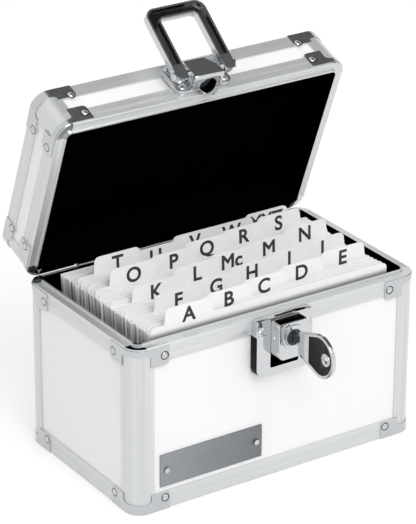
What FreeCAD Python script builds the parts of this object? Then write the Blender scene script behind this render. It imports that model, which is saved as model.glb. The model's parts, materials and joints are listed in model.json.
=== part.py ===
"""Card index box with a hinged lid, metal edging, a key lock and a folding handle.

Millimetres. X runs right along the front, Y to the back and Z up. The origin is the centre of the
underside. The lid is shaped closed and then swung open about the hinge to its rest pose.
"""
import FreeCAD, Part
import math
import os
from FreeCAD import Vector

# Case
width = 183.2
depth = 108.6
base_height = 97.2
lid_height = 28.2
corner_radius = 8.5
lid_opening = 68.6
panel_thickness = 3.6
lining_thickness = 0.8
cut_over = 2.0
running_gap = 0.15
fit_gap = 0.05
full_round_share = 0.9

# Metal edging: folded strips along the edges of both halves
edge_sheet = 1.0
edge_round = 0.45
rim_reach = 5.6
seam_rim_height = 9.5
base_rim_height = 10.5
lid_rim_height = 8.6
rim_inner_leg = 6.0
rim_lip = 1.05
seam_gap = 0.3
post_flange = 4.2

# Corner clips and caps: pressed sheet wrapped round the corners
clip_sheet = 0.5
clip_drop = 1.0
clip_height = 10.6
clip_band = 3.2
base_tab_reach = 22.0
lid_tab_reach = 21.8
tab_round = 2.4
tab_top_round = 0.8
scoop_half_width = 7.8
scoop_round = 2.2
cap_band = 5.6
seam_rivet_drop = 6.3
cap_rivet_rise = 7.0
rivet_edge_distance = 3.0

# Rivets
rivet_head_radius = 2.0
rivet_head_height = 0.8
rivet_shank_radius = 1.2
rivet_grip = 3.0

# Hinge
hinge_end_inset = 23.1
hinge_inset = 1.6
hinge_rise = 0.2
barrel_radius = 1.5
hinge_pin_radius = 0.8
hinge_pin_overhang = 0.6
knuckle_count = 5
knuckle_gap = 0.2
barrel_clearance = 0.3
leaf_thickness = 0.9
leaf_height = 9.0
leaf_rivet_inset = 10.0
leaf_rivet_head_radius = 1.4
strip_thickness = 0.5
strip_leg = 9.0

# Lock on the base; depths are outward from the face of the rims, drops are below the base's top
lock_x = 0.0
lock_plate_half_width = 17.9
lock_plate_drop = 0.2
lock_plate_height = 33.4
lock_plate_depth = 5.0
lock_plate_round = 5.0
plate_top_round = 0.8
lock_sheet = 0.8
lock_rivet_x = 15.4
lock_rivet_drop = 7.6
window_round = 1.0
window_end_gap = 1.0
lock_travel = 6.0
lock_box_half_width = 8.9
lock_box_drop = 1.3
lock_box_height = 20.9
lock_box_face = 13.0
lock_box_wall = 0.9
lock_box_round = 3.0
lock_cavity_floor = 1.2
lock_flange_side = 1.6
lock_flange_drop = 1.0
lock_flange_top_gap = 1.0
lock_ledge_half_width = 4.0
lock_ledge_reach = 3.0
lock_dimple_radius = 1.5
lock_dimple_depth = 0.4
cylinder_drop = 9.9
cylinder_radius = 6.0
cylinder_ring_radius = 7.0
cylinder_ring_height = 0.7
plug_radius = 4.6
plug_face_recess = 0.2
plug_tail_radius = 2.2
cam_reach = 7.6
cam_half_width = 2.2
cam_thickness = 1.0
cam_standoff = 0.8
keyway_gap = 0.15
spring_radius = 1.2
spring_wire_radius = 0.22
spring_turns = 5

# Key; lengths run outward from the face of the lock box, heights from the key's middle line
key_thickness = 2.0
key_blade_half_height = 2.9
key_blade_length = 8.2
key_neck_start = 5.5
key_neck_half_height = 6.5
key_head_distance = 24.6
key_head_radius = 12.1
key_head_drop = 1.2
key_hole_distance = 29.9
key_hole_radius = 1.9
key_border = 1.7
key_field_start = 14.5
key_field_depth = 0.3

# Latch and handle on the lid; heights are measured from the seam plane toward the lid's top
latch_plate_half_width = 17.3
latch_plate_start = 3.2
latch_plate_end = 26.0
latch_plate_depth = 2.9
latch_plate_round = 4.0
latch_rivet_x = 13.4
latch_rivet_inset = 3.6
latch_block_half_width = 9.0
latch_block_start = 2.4
latch_block_end = 18.0
latch_block_depth = 12.0
latch_block_round = 2.0
striker_half_width = 5.0
striker_thickness = 0.9
striker_reach = 3.6
striker_slot_gap = 0.5
socket_half_width = 5.35
socket_height = 6.2
socket_length = 5.4
handle_pivot_height = 8.9
handle_pivot_depth = 10.0
handle_lean = 17.8
handle_half_width = 18.6
handle_length = 41.3
handle_bar_width = 7.0
handle_back = 2.2
handle_front = 2.3
handle_wall = 1.1
handle_corner_round = 6.0
handle_window_round = 2.5
handle_end_radius = 3.6
handle_hollow_start = 5.5
handle_pin_radius = 1.4
handle_pin_depth = 3.0
handle_pin_collar_radius = 2.4
handle_pin_head_height = 0.7
handle_side_gap = 0.2

# Name plate
name_plate_inset = 16.4
name_plate_length = 64.8
name_plate_bottom = 13.2
name_plate_height = 19.1
name_plate_thickness = 1.2
name_plate_round = 0.3
name_plate_pin_inset = 3.8
name_plate_pin_radius = 1.5
name_plate_pin_height = 0.6

# Cards
card_side_gap = 10.0
card_rise = 6.0
card_front_gap = 2.2
card_back_gap = 4.2
pack_lean = 5.0
guide_count = 25
guides_per_row = 5
guide_thickness = 0.5
guide_gap = 0.05
card_drop = 0.6
card_side_step = 0.5
card_side_turn = 2.4
card_drop_turn = 1.7
tab_start = 14.0
tab_end = 4.6
shoulder_run = 4.0
tab_rise = 7.2
tab_corner_round = 2.6
shoulder_drop = 2.8

# Places worked out from the sizes above
panel_inner = edge_sheet + panel_thickness
lining_inner = panel_inner + lining_thickness
seam_plane = base_height + rim_lip + seam_gap / 2
lid_crease = seam_plane + seam_gap / 2 + rim_lip
hinge_y = depth / 2 - hinge_inset
hinge_z = base_height + hinge_rise
front_face = -depth / 2
hinge_length = width - 2 * (corner_radius + hinge_end_inset)
leaf_rivet_pitch = hinge_length / 2 - leaf_rivet_inset
lock_plate_top = base_height - lock_plate_drop
lock_plate_bottom = lock_plate_top - lock_plate_height
lock_box_top = base_height - lock_box_drop
lock_box_bottom = lock_box_top - lock_box_height
window_bottom = lock_box_bottom - lock_travel - window_end_gap
cylinder_z = base_height - cylinder_drop
handle_y = front_face - handle_pivot_depth
handle_z = seam_plane + handle_pivot_height
name_plate_left = name_plate_inset - width / 2
card_floor = panel_thickness + lining_thickness
card_width = width - 2 * (lining_inner + card_side_gap)
card_height = base_height + card_rise - card_floor
pack_top_depth = depth - 2 * lining_inner - card_front_gap - card_back_gap
tab_width = (card_width - tab_start - tab_end) / guides_per_row
x_axis = Vector(1, 0, 0)
y_axis = Vector(0, 1, 0)
z_axis = Vector(0, 0, 1)
side_turns = {"front": 0, "right": 90, "back": 180, "left": 270}
corner_flips = {
    "front_left": (False, False),
    "front_right": (True, False),
    "back_left": (False, True),
    "back_right": (True, True),
}


def block(x, y, z):
    return Part.makeBox(x[1] - x[0], y[1] - y[0], z[1] - z[0], Vector(x[0], y[0], z[0]))


def rod(radius, start, end):
    line = end - start
    return Part.makeCylinder(radius, line.Length, start, line)


def runs_along(edge, axis):
    if not isinstance(edge.Curve, Part.Line):
        return False
    return edge.Curve.Direction.cross(axis).Length < 1e-6


def rounded(shape, radius, axis, wanted):
    """Round the straight edges along an axis whose midpoints the test picks."""
    edges = []
    for edge in shape.Edges:
        if runs_along(edge, axis) and wanted(edge.BoundBox.Center):
            edges.append(edge)
    return shape.makeFillet(radius, edges)


def everywhere(point):
    return True


def prism(points, axis):
    """Close the outline and extrude it along an axis."""
    return Part.Face(Part.makePolygon(points + points[:1])).extrude(axis)


def group(shapes):
    return Part.makeCompound(shapes)


def cut_all(shape, tools):
    """Cut away the tools that come near the shape."""
    near = [tool for tool in tools if shape.BoundBox.intersect(tool.BoundBox)]
    if near:
        shape = shape.cut(near)
    return shape


def save(name, shape):
    shape.exportStep("parts/" + name + ".step")


def side_span(side):
    """Length of a side and the case's size across it."""
    if side in ("front", "back"):
        return width, depth
    return depth, width


def on_side(shape, side):
    """Carry a shape drawn with the outer face at y = 0 to one side of the case."""
    across = side_span(side)[1]
    moved = shape.translated(Vector(0, -across / 2, 0))
    moved.rotate(Vector(), z_axis, side_turns[side])
    return moved


def on_corner(shape, corner):
    """Carry a shape drawn round the corner's centre to one corner of the case."""
    moved = shape.translated(Vector(corner_radius - width / 2, corner_radius - depth / 2, 0))
    flip_x, flip_y = corner_flips[corner]
    if flip_x:
        moved = moved.mirror(Vector(), x_axis)
    if flip_y:
        moved = moved.mirror(Vector(), y_axis)
    return moved


def on_all_corners(shape):
    return [on_corner(shape, corner) for corner in corner_flips]


def quarter_ring(inner, outer, low, high):
    """Quarter of a ring in the corner's outer quadrant."""
    ring = Part.makeCylinder(outer, high - low, Vector(0, 0, low), z_axis, 90)
    ring = ring.cut(Part.makeCylinder(inner, high - low, Vector(0, 0, low), z_axis, 90))
    ring.rotate(Vector(), z_axis, 180)
    return ring


def mirrored_pair(shape):
    """The shape and its twin across the diagonal of the corner."""
    return [shape, shape.mirror(Vector(), Vector(1, -1, 0))]


# Parts of one half of the case, drawn with the seam crease at z = 0 and the half hanging below it


def seam_profile(has_leg, has_lip):
    """Section of a seam rim: distance in from the outer face, and height."""
    inner = rim_reach - edge_sheet
    points = [(0, 0)]
    if has_lip:
        points += [(inner, 0), (inner, rim_lip), (rim_reach, rim_lip)]
    else:
        points.append((rim_reach, 0))
    points += [(rim_reach, -rim_inner_leg), (inner, -rim_inner_leg), (inner, -edge_sheet)]
    if has_leg:
        points += [(edge_sheet, -edge_sheet), (edge_sheet, -seam_rim_height), (0, -seam_rim_height)]
    else:
        points.append((0, -edge_sheet))
    return points


def seam_rim(side, has_lip):
    length = side_span(side)[0] - 2 * corner_radius
    points = [Vector(-length / 2, a, b) for a, b in seam_profile(True, has_lip)]
    bar = prism(points, Vector(length, 0, 0))
    bar = rounded(bar, edge_round, x_axis, lambda p: abs(p.y) < edge_round and abs(p.z) < edge_round)
    return on_side(bar, side)


def seam_joiner():
    """Curved piece that carries the rim's top and lip round a corner."""
    points = [Vector(a - corner_radius, 0, b) for a, b in seam_profile(False, True)]
    face = Part.Face(Part.makePolygon(points + points[:1]))
    return face.revolve(Vector(), z_axis, 90)


def far_rim(side, height, rim_height):
    """Angle strip round the far edge of a half, flush with its outer face."""
    length = side_span(side)[0] - 2 * corner_radius
    section = [
        (0, -height),
        (rim_reach, -height),
        (rim_reach, edge_sheet - height),
        (edge_sheet, edge_sheet - height),
        (edge_sheet, rim_height - height),
        (0, rim_height - height),
    ]
    points = [Vector(-length / 2, a, b) for a, b in section]
    bar = prism(points, Vector(length, 0, 0))
    bar = rounded(bar, edge_round, x_axis, lambda p: p.y < edge_round and p.z < edge_round - height)
    return on_side(bar, side)


def corner_post(height, far_rim_height):
    """Rounded post with a web at each panel's end and a flange over the panel between the rims."""
    low = clip_sheet - height
    high = -edge_sheet
    outer = -corner_radius
    wall = quarter_ring(corner_radius - edge_sheet, corner_radius, low, high)
    flange = block((0, post_flange), (outer, outer + edge_sheet), (far_rim_height - height, -seam_rim_height))
    web = block((-edge_sheet, 0), (outer, outer + panel_inner), (low, high))
    arm = flange.fuse(web).common(wall_side(low, high))
    return wall.fuse(mirrored_pair(arm)).removeSplitter()


def wall_side(low, high):
    """Room inside the corner's outer surface, with the straight run past the tangent."""
    disc = Part.makeCylinder(corner_radius, high - low, Vector(0, 0, low))
    return disc.fuse(block((0, corner_radius), (-corner_radius, 0), (low, high)))


def wall_panel(side, height):
    length = side_span(side)[0] - 2 * corner_radius
    board = block((-length / 2, length / 2), (edge_sheet, panel_inner), (edge_sheet - height, -edge_sheet))
    return on_side(board, side)


def far_panel(height):
    """Board that closes a half, rebated so that its outer face lies flush between the rims."""
    outer_x = width / 2 - rim_reach
    outer_y = depth / 2 - rim_reach
    inner_x = width / 2 - panel_inner
    inner_y = depth / 2 - panel_inner
    outer = block((-outer_x, outer_x), (-outer_y, outer_y), (-height, edge_sheet - height))
    inner = block((-inner_x, inner_x), (-inner_y, inner_y), (edge_sheet - height, panel_thickness - height))
    return outer.fuse(inner).removeSplitter()


def lining(height):
    """Five thin sheets that line the inside up to the rims' inner legs."""
    low = panel_thickness - height
    shelf = low + lining_thickness
    high = -rim_inner_leg
    long_x = width / 2 - panel_inner
    long_y = depth / 2 - lining_inner
    sheets = [block((-long_x, long_x), (panel_inner - depth / 2, depth / 2 - panel_inner), (low, shelf))]
    for side, half in (("front", long_x), ("back", long_x), ("left", long_y), ("right", long_y)):
        sheets.append(on_side(block((-half, half), (panel_inner, lining_inner), (shelf, high)), side))
    return sheets


def wrapped_sheet(tab_reach, low, high):
    """Strip wrapped round a corner, with a straight tab on each side."""
    ring = quarter_ring(corner_radius, corner_radius + clip_sheet, low, high)
    reach = tab_reach - corner_radius
    tab = block((0, reach), (-corner_radius - clip_sheet, -corner_radius), (low, high))
    return ring.fuse(mirrored_pair(tab)).removeSplitter()


def tab_mask(tab_reach, low, high, round_low, round_high):
    """Outline that rounds the corners at the end of a tab."""
    reach = tab_reach - corner_radius
    far = corner_radius + cut_over
    mask = block((-far, reach), (-far, cut_over - corner_radius), (low, high))
    middle = (low + high) / 2
    mask = rounded(mask, round_low, y_axis, lambda p: p.x > 0 and p.z < middle)
    mask = rounded(mask, round_high, y_axis, lambda p: p.x > 0 and p.z > middle)
    rest = block((-far, 0), (-far, far + reach), (low, high))
    return mask.fuse(rest)


def scoop(open_low, edge, end):
    """Cutter that runs out through the corner and bares the post between the tabs."""
    far = 2 * corner_radius + cut_over
    if open_low:
        span = (end - cut_over, edge)
    else:
        span = (edge, end + cut_over)
    cutter = block((-scoop_half_width, scoop_half_width), (-far, 0), span)
    cutter = rounded(cutter, scoop_round, y_axis, lambda p: abs(p.z - edge) < clip_sheet)
    cutter.rotate(Vector(), z_axis, -45)
    return cutter


def seam_clip(tab_reach):
    high = -clip_drop
    low = high - clip_height
    sheet = wrapped_sheet(tab_reach, low, high)
    mask = tab_mask(tab_reach, low, high, tab_round, tab_top_round)
    sheet = sheet.common(mask).common(mask.mirror(Vector(), Vector(1, -1, 0)))
    return sheet.cut(scoop(True, high - clip_band, low))


def corner_cap(tab_reach, height, rim_height):
    low = -height
    high = rim_height - height
    sheet = wrapped_sheet(tab_reach, low, high)
    mask = tab_mask(tab_reach, low, high, tab_top_round, tab_round)
    sheet = sheet.common(mask).common(mask.mirror(Vector(), Vector(1, -1, 0)))
    sheet = sheet.cut(scoop(False, low + cap_band, high))
    return sheet.fuse(cap_foot(low)).removeSplitter()


def cap_foot(low):
    """Flange of a cap under the corner, kept clear of the rebated board."""
    disc = Part.makeCylinder(corner_radius, clip_sheet, Vector(0, 0, low), z_axis, 90)
    disc.rotate(Vector(), z_axis, 180)
    free = corner_radius - rim_reach
    return disc.cut(block((-free, cut_over), (-free, cut_over), (low, low + clip_sheet)))


# Rivets: each has a place on its outer surface and an outward direction


def rivet(place, outward, grip, head_radius):
    """Domed head with a shank that reaches inward by the grip."""
    cap_radius = (head_radius ** 2 + rivet_head_height ** 2) / (2 * rivet_head_height)
    centre = place - outward * (cap_radius - rivet_head_height)
    ball = Part.makeSphere(cap_radius, centre)
    head = ball.common(rod(head_radius + cut_over, place, place + outward * cap_radius))
    return head.fuse(rod(rivet_shank_radius, place - outward * grip, place))


def rivet_hole(place, outward, grip):
    inner = place - outward * (grip + fit_gap)
    return rod(rivet_shank_radius + fit_gap, inner, place + outward * cut_over)


def corner_rivets(tab_reach, rise):
    """Places and directions of the two rivets of each corner fitting."""
    along = tab_reach - rivet_edge_distance
    spots = []
    for flip_x, flip_y in corner_flips.values():
        turn_x = -1 if flip_x else 1
        turn_y = -1 if flip_y else 1
        front = Vector((along - width / 2) * turn_x, (-depth / 2 - clip_sheet) * turn_y, rise)
        side = Vector((-width / 2 - clip_sheet) * turn_x, (along - depth / 2) * turn_y, rise)
        spots.append((front, Vector(0, -turn_y, 0)))
        spots.append((side, Vector(-turn_x, 0, 0)))
    return spots


def half_shell(height, far_rim_height, tab_reach, far_name):
    """All pieces of one half, by name, drawn below a crease at z = 0."""
    grip = clip_sheet + edge_sheet + rivet_grip
    spots = corner_rivets(tab_reach, -seam_rivet_drop) + corner_rivets(tab_reach, cap_rivet_rise - height)
    holes = [rivet_hole(place, outward, grip) for place, outward in spots]
    pieces = {}
    for side in side_turns:
        pieces["panel_" + side] = cut_all(wall_panel(side, height), holes)
        pieces["seam_rim_" + side] = cut_all(seam_rim(side, side != "back"), holes)
    pieces["panel_" + far_name] = far_panel(height)
    far_rims = [cut_all(far_rim(side, height, far_rim_height), holes) for side in side_turns]
    pieces[far_name + "_rims"] = group(far_rims)
    pieces["corner_posts"] = group(on_all_corners(corner_post(height, far_rim_height)))
    pieces["seam_joiners"] = group(on_all_corners(seam_joiner()))
    clips = [cut_all(clip, holes) for clip in on_all_corners(seam_clip(tab_reach))]
    pieces["seam_clips"] = group(clips)
    caps = on_all_corners(corner_cap(tab_reach, height, far_rim_height))
    pieces["corner_caps"] = group([cut_all(cap, holes) for cap in caps])
    pieces["corner_rivets"] = group([rivet(spot[0], spot[1], grip, rivet_head_radius) for spot in spots])
    pieces["lining"] = group(lining(height))
    return pieces


def standing(shape):
    """Place a shape of the lower half."""
    return shape.translated(Vector(0, 0, base_height))


def closed(shape):
    """Turn a half over and set it on the base as the closed lid."""
    return shape.mirror(Vector(), z_axis).translated(Vector(0, 0, lid_crease))


def opened(shape):
    """Swing a shape of the closed lid to the rest pose."""
    moved = shape.copy()
    moved.rotate(Vector(0, hinge_y, hinge_z), x_axis, -lid_opening)
    return moved


# Hinge, in the closed pose


def knuckle_spans(first):
    """Ranges along X of every other knuckle."""
    pitch = hinge_length / knuckle_count
    spans = []
    for index in range(first, knuckle_count, 2):
        start = index * pitch - hinge_length / 2
        spans.append((start + knuckle_gap / 2, start + pitch - knuckle_gap / 2))
    return spans


def hinge_barrel(radius, span):
    return rod(radius, Vector(span[0], hinge_y, hinge_z), Vector(span[1], hinge_y, hinge_z))


def leaf_rivets(rise):
    spots = []
    face = hinge_y + barrel_radius
    for step in (-1, 0, 1):
        spots.append((Vector(step * leaf_rivet_pitch, face, rise), y_axis))
    return spots


def hinge_leaf(first, far, holes):
    """Leaf from its knuckles to its far edge, in a rebate in the rim's outer leg."""
    outer = hinge_y + barrel_radius
    depths = (outer - leaf_thickness, outer)
    up = far > hinge_z
    root = hinge_z + (barrel_radius + barrel_clearance) * (1 if up else -1)
    half = hinge_length / 2
    leaf = block((-half, half), depths, (min(root, far), max(root, far)))
    for span in knuckle_spans(first):
        ends = (min(hinge_z, far), max(hinge_z, far))
        leaf = leaf.fuse(block(span, depths, ends)).fuse(hinge_barrel(barrel_radius, span))
    leaf = leaf.cut(hinge_barrel(hinge_pin_radius + fit_gap, (-half - cut_over, half + cut_over)))
    return cut_all(leaf.removeSplitter(), holes)


def leaf_room(far):
    """Rebate for a leaf in the back rim, and the hollow for the barrel."""
    half = hinge_length / 2 + hinge_pin_overhang + running_gap
    low = min(hinge_z, far) - (running_gap if far < hinge_z else 0)
    high = max(hinge_z, far) + (running_gap if far > hinge_z else 0)
    slot = block((-half, half), (depth / 2 - edge_sheet, depth / 2 + cut_over), (low, high))
    return slot.fuse(hinge_barrel(barrel_radius + barrel_clearance, (-half, half)))


def hinge_strip():
    """Angle strip that covers the back rim's top and its inner leg, below a crease at z = 0."""
    length = width - 2 * corner_radius
    start = hinge_inset + barrel_radius + barrel_clearance + running_gap
    end = rim_reach + strip_thickness
    top = block((-length / 2, length / 2), (start, end), (0, strip_thickness))
    leg = block((-length / 2, length / 2), (rim_reach, end), (-strip_leg, 0))
    return on_side(top.fuse(leg).removeSplitter(), "back")


# Lock on the base


def front_block(x, out, z):
    """Block in front of the case: ranges along X, outward from the rims' face, and upward."""
    return block(x, (front_face - out[1], front_face - out[0]), z)


def dished_plate(half_width, out, low, high, sheet):
    """Shallow tray that stands on the case with its open side inward."""
    tray = front_block((lock_x - half_width, lock_x + half_width), out, (low, high))
    inner_x = (lock_x - half_width + sheet, lock_x + half_width - sheet)
    hollow = front_block(inner_x, (out[0] - cut_over, out[1] - sheet), (low + sheet, high - sheet))
    return tray, hollow


def lock_plate(holes):
    low = lock_plate_bottom
    high = lock_plate_top
    tray, hollow = dished_plate(lock_plate_half_width, (-edge_sheet, lock_plate_depth), low, high, lock_sheet)
    middle = (low + high) / 2
    tray = rounded(tray, lock_plate_round, y_axis, lambda p: p.z < middle)
    tray = rounded(tray, plate_top_round, y_axis, lambda p: p.z > middle)
    hollow = rounded(hollow, lock_plate_round - lock_sheet, y_axis, lambda p: p.z < middle)
    half = lock_box_half_width + running_gap
    window = front_block((lock_x - half, lock_x + half), (0, lock_plate_depth + cut_over),
                         (window_bottom, lock_box_top + running_gap))
    window = rounded(window, window_round, y_axis, lambda p: p.z < middle)
    half = striker_half_width + striker_slot_gap
    slot = front_block((lock_x - half, lock_x + half),
                       (latch_plate_depth - striker_slot_gap, lock_plate_depth - lock_sheet),
                       (high - lock_sheet - cut_over, high + cut_over))
    rim_z = (base_height - seam_rim_height, base_height)
    rim = block((-width / 2, width / 2), (front_face, -front_face), rim_z)
    plate = tray.cut([hollow, window, slot, rim])
    return cut_all(plate, holes)


def lock_rivets():
    rise = base_height - lock_rivet_drop
    face = front_face - lock_plate_depth
    return [(Vector(lock_x + step * lock_rivet_x, face, rise), -y_axis) for step in (-1, 1)]


def cylinder_rod(radius, inner, outer):
    start = Vector(lock_x, front_face - inner, cylinder_z)
    return rod(radius, start, Vector(lock_x, front_face - outer, cylinder_z))


def flange_out():
    """Depths of the flange that keeps the lock box behind its plate."""
    outer = lock_plate_depth - lock_sheet - running_gap
    return outer - lock_sheet, outer


def lock_box():
    back, front = flange_out()
    half = lock_box_half_width
    x = (lock_x - half, lock_x + half)
    body = front_block(x, (front, lock_box_face), (lock_box_bottom, lock_box_top))
    body = rounded(body, lock_box_round, y_axis, lambda p: p.z < cylinder_z)
    wall = lock_box_wall
    inner = (lock_plate_depth + wall, lock_box_face - wall)
    well = front_block((x[0] + wall, x[1] - wall), inner, (lock_box_bottom + lock_cavity_floor,
                                                           lock_box_top + cut_over))
    well = rounded(well, lock_box_round - wall, y_axis, lambda p: p.z < cylinder_z)
    body = body.cut(well)
    tongue_tip = seam_plane - striker_reach
    flange_x = (x[0] - lock_flange_side, x[1] + lock_flange_side)
    flange_z = (lock_box_bottom - lock_flange_drop, tongue_tip - lock_flange_top_gap)
    body = body.fuse(front_block(flange_x, (back, front), flange_z))
    ledge_x = (lock_x - lock_ledge_half_width, lock_x + lock_ledge_half_width)
    ledge = front_block(ledge_x, (back - lock_ledge_reach, back), (flange_z[0], flange_z[0] + lock_sheet))
    body = body.fuse(ledge).removeSplitter()
    body = body.cut(cylinder_rod(cylinder_radius + fit_gap, 0, lock_box_face + cut_over))
    side = Vector(x[0], front_face - (lock_plate_depth + lock_box_face) / 2, cylinder_z)
    dimple = rod(lock_dimple_radius, side - x_axis * cut_over, side + x_axis * lock_dimple_depth)
    return body.cut(dimple)


def lock_cylinder():
    """Sleeve through the box with a ring on the box's face."""
    back = flange_out()[0]
    face = lock_box_face + cylinder_ring_height
    sleeve = cylinder_rod(cylinder_radius, back, face)
    sleeve = sleeve.fuse(cylinder_rod(cylinder_ring_radius, lock_box_face, face))
    return sleeve.cut(cylinder_rod(plug_radius + fit_gap, 0, face + cut_over)).removeSplitter()


def cylinder_block(side, out, up):
    """Block by its ranges sideways from the cylinder's axis, outward, and upward from the axis."""
    x = (lock_x + side[0], lock_x + side[1])
    return front_block(x, out, (cylinder_z + up[0], cylinder_z + up[1]))


def lock_plug():
    back = flange_out()[0]
    face = lock_box_face + cylinder_ring_height - plug_face_recess
    plug = cylinder_rod(plug_radius, back, face)
    tail_start = cam_standoff + cam_thickness
    plug = plug.fuse(cylinder_rod(plug_tail_radius, tail_start, back))
    cam = cylinder_block((-cam_half_width, cam_half_width), (cam_standoff, tail_start),
                         (-cam_half_width, cam_reach))
    plug = plug.fuse(rounded(cam, cam_half_width * full_round_share, y_axis, lambda p: p.z > cylinder_z))
    half = key_thickness / 2 + keyway_gap
    rise = key_blade_half_height + keyway_gap
    keyway = cylinder_block((-half, half), (lock_box_face - key_blade_length - keyway_gap, face + cut_over),
                            (-rise, rise))
    return plug.removeSplitter().cut(keyway)


def lock_spring():
    """Coil between the plate's lower wall and the lock box's ledge."""
    back = flange_out()[0]
    low = lock_plate_bottom + lock_sheet + spring_wire_radius + fit_gap
    high = lock_box_bottom - lock_flange_drop - spring_wire_radius - fit_gap
    centre = Vector(lock_x, front_face - back + lock_ledge_reach / 2, low)
    steps = 4 * spring_turns
    points = []
    for index in range(2 * steps + 1):
        turn = math.pi / 4 * index
        height = (high - low) * index / (2 * steps)
        arm = Vector(spring_radius * math.cos(turn), spring_radius * math.sin(turn), height)
        points.append(centre + arm)
    edges = []
    for index in range(0, 2 * steps, 2):
        edges.append(Part.Arc(points[index], points[index + 1], points[index + 2]).toShape())
    path = Part.Wire(edges)
    section = Part.Wire(Part.makeCircle(spring_wire_radius, points[0], edges[0].tangentAt(0)))
    return path.makePipeShell([section], True, False)


def key_point(out, up):
    """Point in the key's middle plane."""
    return Vector(lock_x, front_face - lock_box_face - out, cylinder_z - key_head_drop + up)


def key_plate(inset, half_thickness):
    """Neck that widens to a round head, drawn in by an inset all round."""
    run = key_head_distance - key_neck_start
    reach = math.hypot(run, key_neck_half_height)
    turn = math.pi - math.atan2(key_neck_half_height, run) - math.acos(key_head_radius / reach)
    touch_out = key_head_distance + key_head_radius * math.cos(turn)
    touch_up = key_head_radius * math.sin(turn)
    low = key_point(key_neck_start, -key_neck_half_height)
    high = key_point(key_neck_start, key_neck_half_height)
    low_touch = key_point(touch_out, -touch_up)
    high_touch = key_point(touch_out, touch_up)
    far = key_point(key_head_distance + key_head_radius, 0)
    edges = [
        Part.makeLine(high, low),
        Part.makeLine(low, low_touch),
        Part.Arc(low_touch, far, high_touch).toShape(),
        Part.makeLine(high_touch, high),
    ]
    face = Part.Face(Part.Wire(edges))
    if inset:
        face = face.makeOffset2D(-inset)
        face = Part.Face(face.OuterWire)
    face = face.translated(-half_thickness * x_axis)
    return face.extrude(2 * half_thickness * x_axis)


def key():
    half = key_thickness / 2
    neck = key_point(key_neck_start, 0).y
    head = rounded(key_plate(0, half), key_border, x_axis, lambda p: abs(p.y - neck) < fit_gap)
    blade = cylinder_block((-half, half), (lock_box_face - key_blade_length,
                                           lock_box_face + key_neck_start + key_border),
                           (-key_blade_half_height, key_blade_half_height))
    whole = head.fuse(blade).removeSplitter()
    out = (lock_box_face + key_field_start, lock_box_face + key_head_distance + key_head_radius)
    room = cylinder_block((-half, half), out, (-2 * key_head_radius, 2 * key_head_radius))
    field = key_plate(key_border, half).common(room)
    shift = Vector(2 * half - key_field_depth, 0, 0)
    whole = whole.cut([field.translated(shift), field.translated(-shift)])
    middle = key_point(key_hole_distance, 0)
    place = middle - x_axis * half
    ring = rod(key_hole_radius + key_border, place, place + x_axis * key_thickness)
    hole = rod(key_hole_radius, place - x_axis * cut_over, place + x_axis * (key_thickness + cut_over))
    return whole.fuse(ring).cut(hole).removeSplitter()


# Latch and handle on the lid, in the closed pose


def lid_block(x, out, t):
    """Block on the lid's front: ranges along X, outward, and up from the seam plane."""
    return front_block(x, out, (seam_plane + t[0], seam_plane + t[1]))


def latch_plate(holes):
    low = seam_plane + latch_plate_start
    high = seam_plane + latch_plate_end
    tray, hollow = dished_plate(latch_plate_half_width, (0, latch_plate_depth), low, high, lock_sheet)
    tray = rounded(tray, latch_plate_round, y_axis, everywhere)
    hollow = rounded(hollow, latch_plate_round - lock_sheet, y_axis, everywhere)
    return cut_all(tray.cut(hollow), holes)


def latch_rivets():
    face = front_face - latch_plate_depth
    spots = []
    for rise in (latch_plate_start + latch_rivet_inset, latch_plate_end - latch_rivet_inset):
        for step in (-1, 1):
            spots.append((Vector(lock_x + step * latch_rivet_x, face, seam_plane + rise), -y_axis))
    return spots


def handle_pin_holes(radius):
    """Holes for both pins in the sides of the latch block."""
    holes = []
    for step in (-1, 1):
        side = Vector(lock_x + step * latch_block_half_width, handle_y, handle_z)
        depth_in = x_axis * step * (handle_pin_depth + fit_gap)
        holes.append(rod(radius, side - depth_in, side + x_axis * step * cut_over))
    return holes


def latch_block():
    half = latch_block_half_width
    body = lid_block((lock_x - half, lock_x + half), (latch_plate_depth, latch_block_depth),
                     (latch_block_start, latch_block_end))
    outer = front_face - latch_block_depth
    body = rounded(body, latch_block_round, x_axis, lambda p: abs(p.y - outer) < fit_gap)
    socket = lid_block((lock_x - socket_half_width, lock_x + socket_half_width),
                       (0, latch_plate_depth + socket_height),
                       (latch_block_start - cut_over, latch_block_start + socket_length))
    crown = front_face - latch_plate_depth - socket_height
    radius = socket_half_width * full_round_share
    socket = rounded(socket, radius, z_axis, lambda p: abs(p.y - crown) < fit_gap)
    return body.cut([socket] + handle_pin_holes(handle_pin_radius + fit_gap))


def striker():
    """Round-ended tongue that drops into the slot in the top of the lock plate."""
    half = striker_half_width
    tongue = lid_block((lock_x - half, lock_x + half),
                       (latch_plate_depth, latch_plate_depth + striker_thickness),
                       (-striker_reach, latch_block_start + socket_length))
    tip = seam_plane - striker_reach
    return rounded(tongue, half * full_round_share, y_axis, lambda p: abs(p.z - tip) < fit_gap)


def in_handle_place(shape):
    """Lean a handle shape drawn upright at the pivot and carry it to the closed lid."""
    moved = shape.copy()
    moved.rotate(Vector(), x_axis, handle_lean)
    return moved.translated(Vector(lock_x, handle_y, handle_z))


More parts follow.
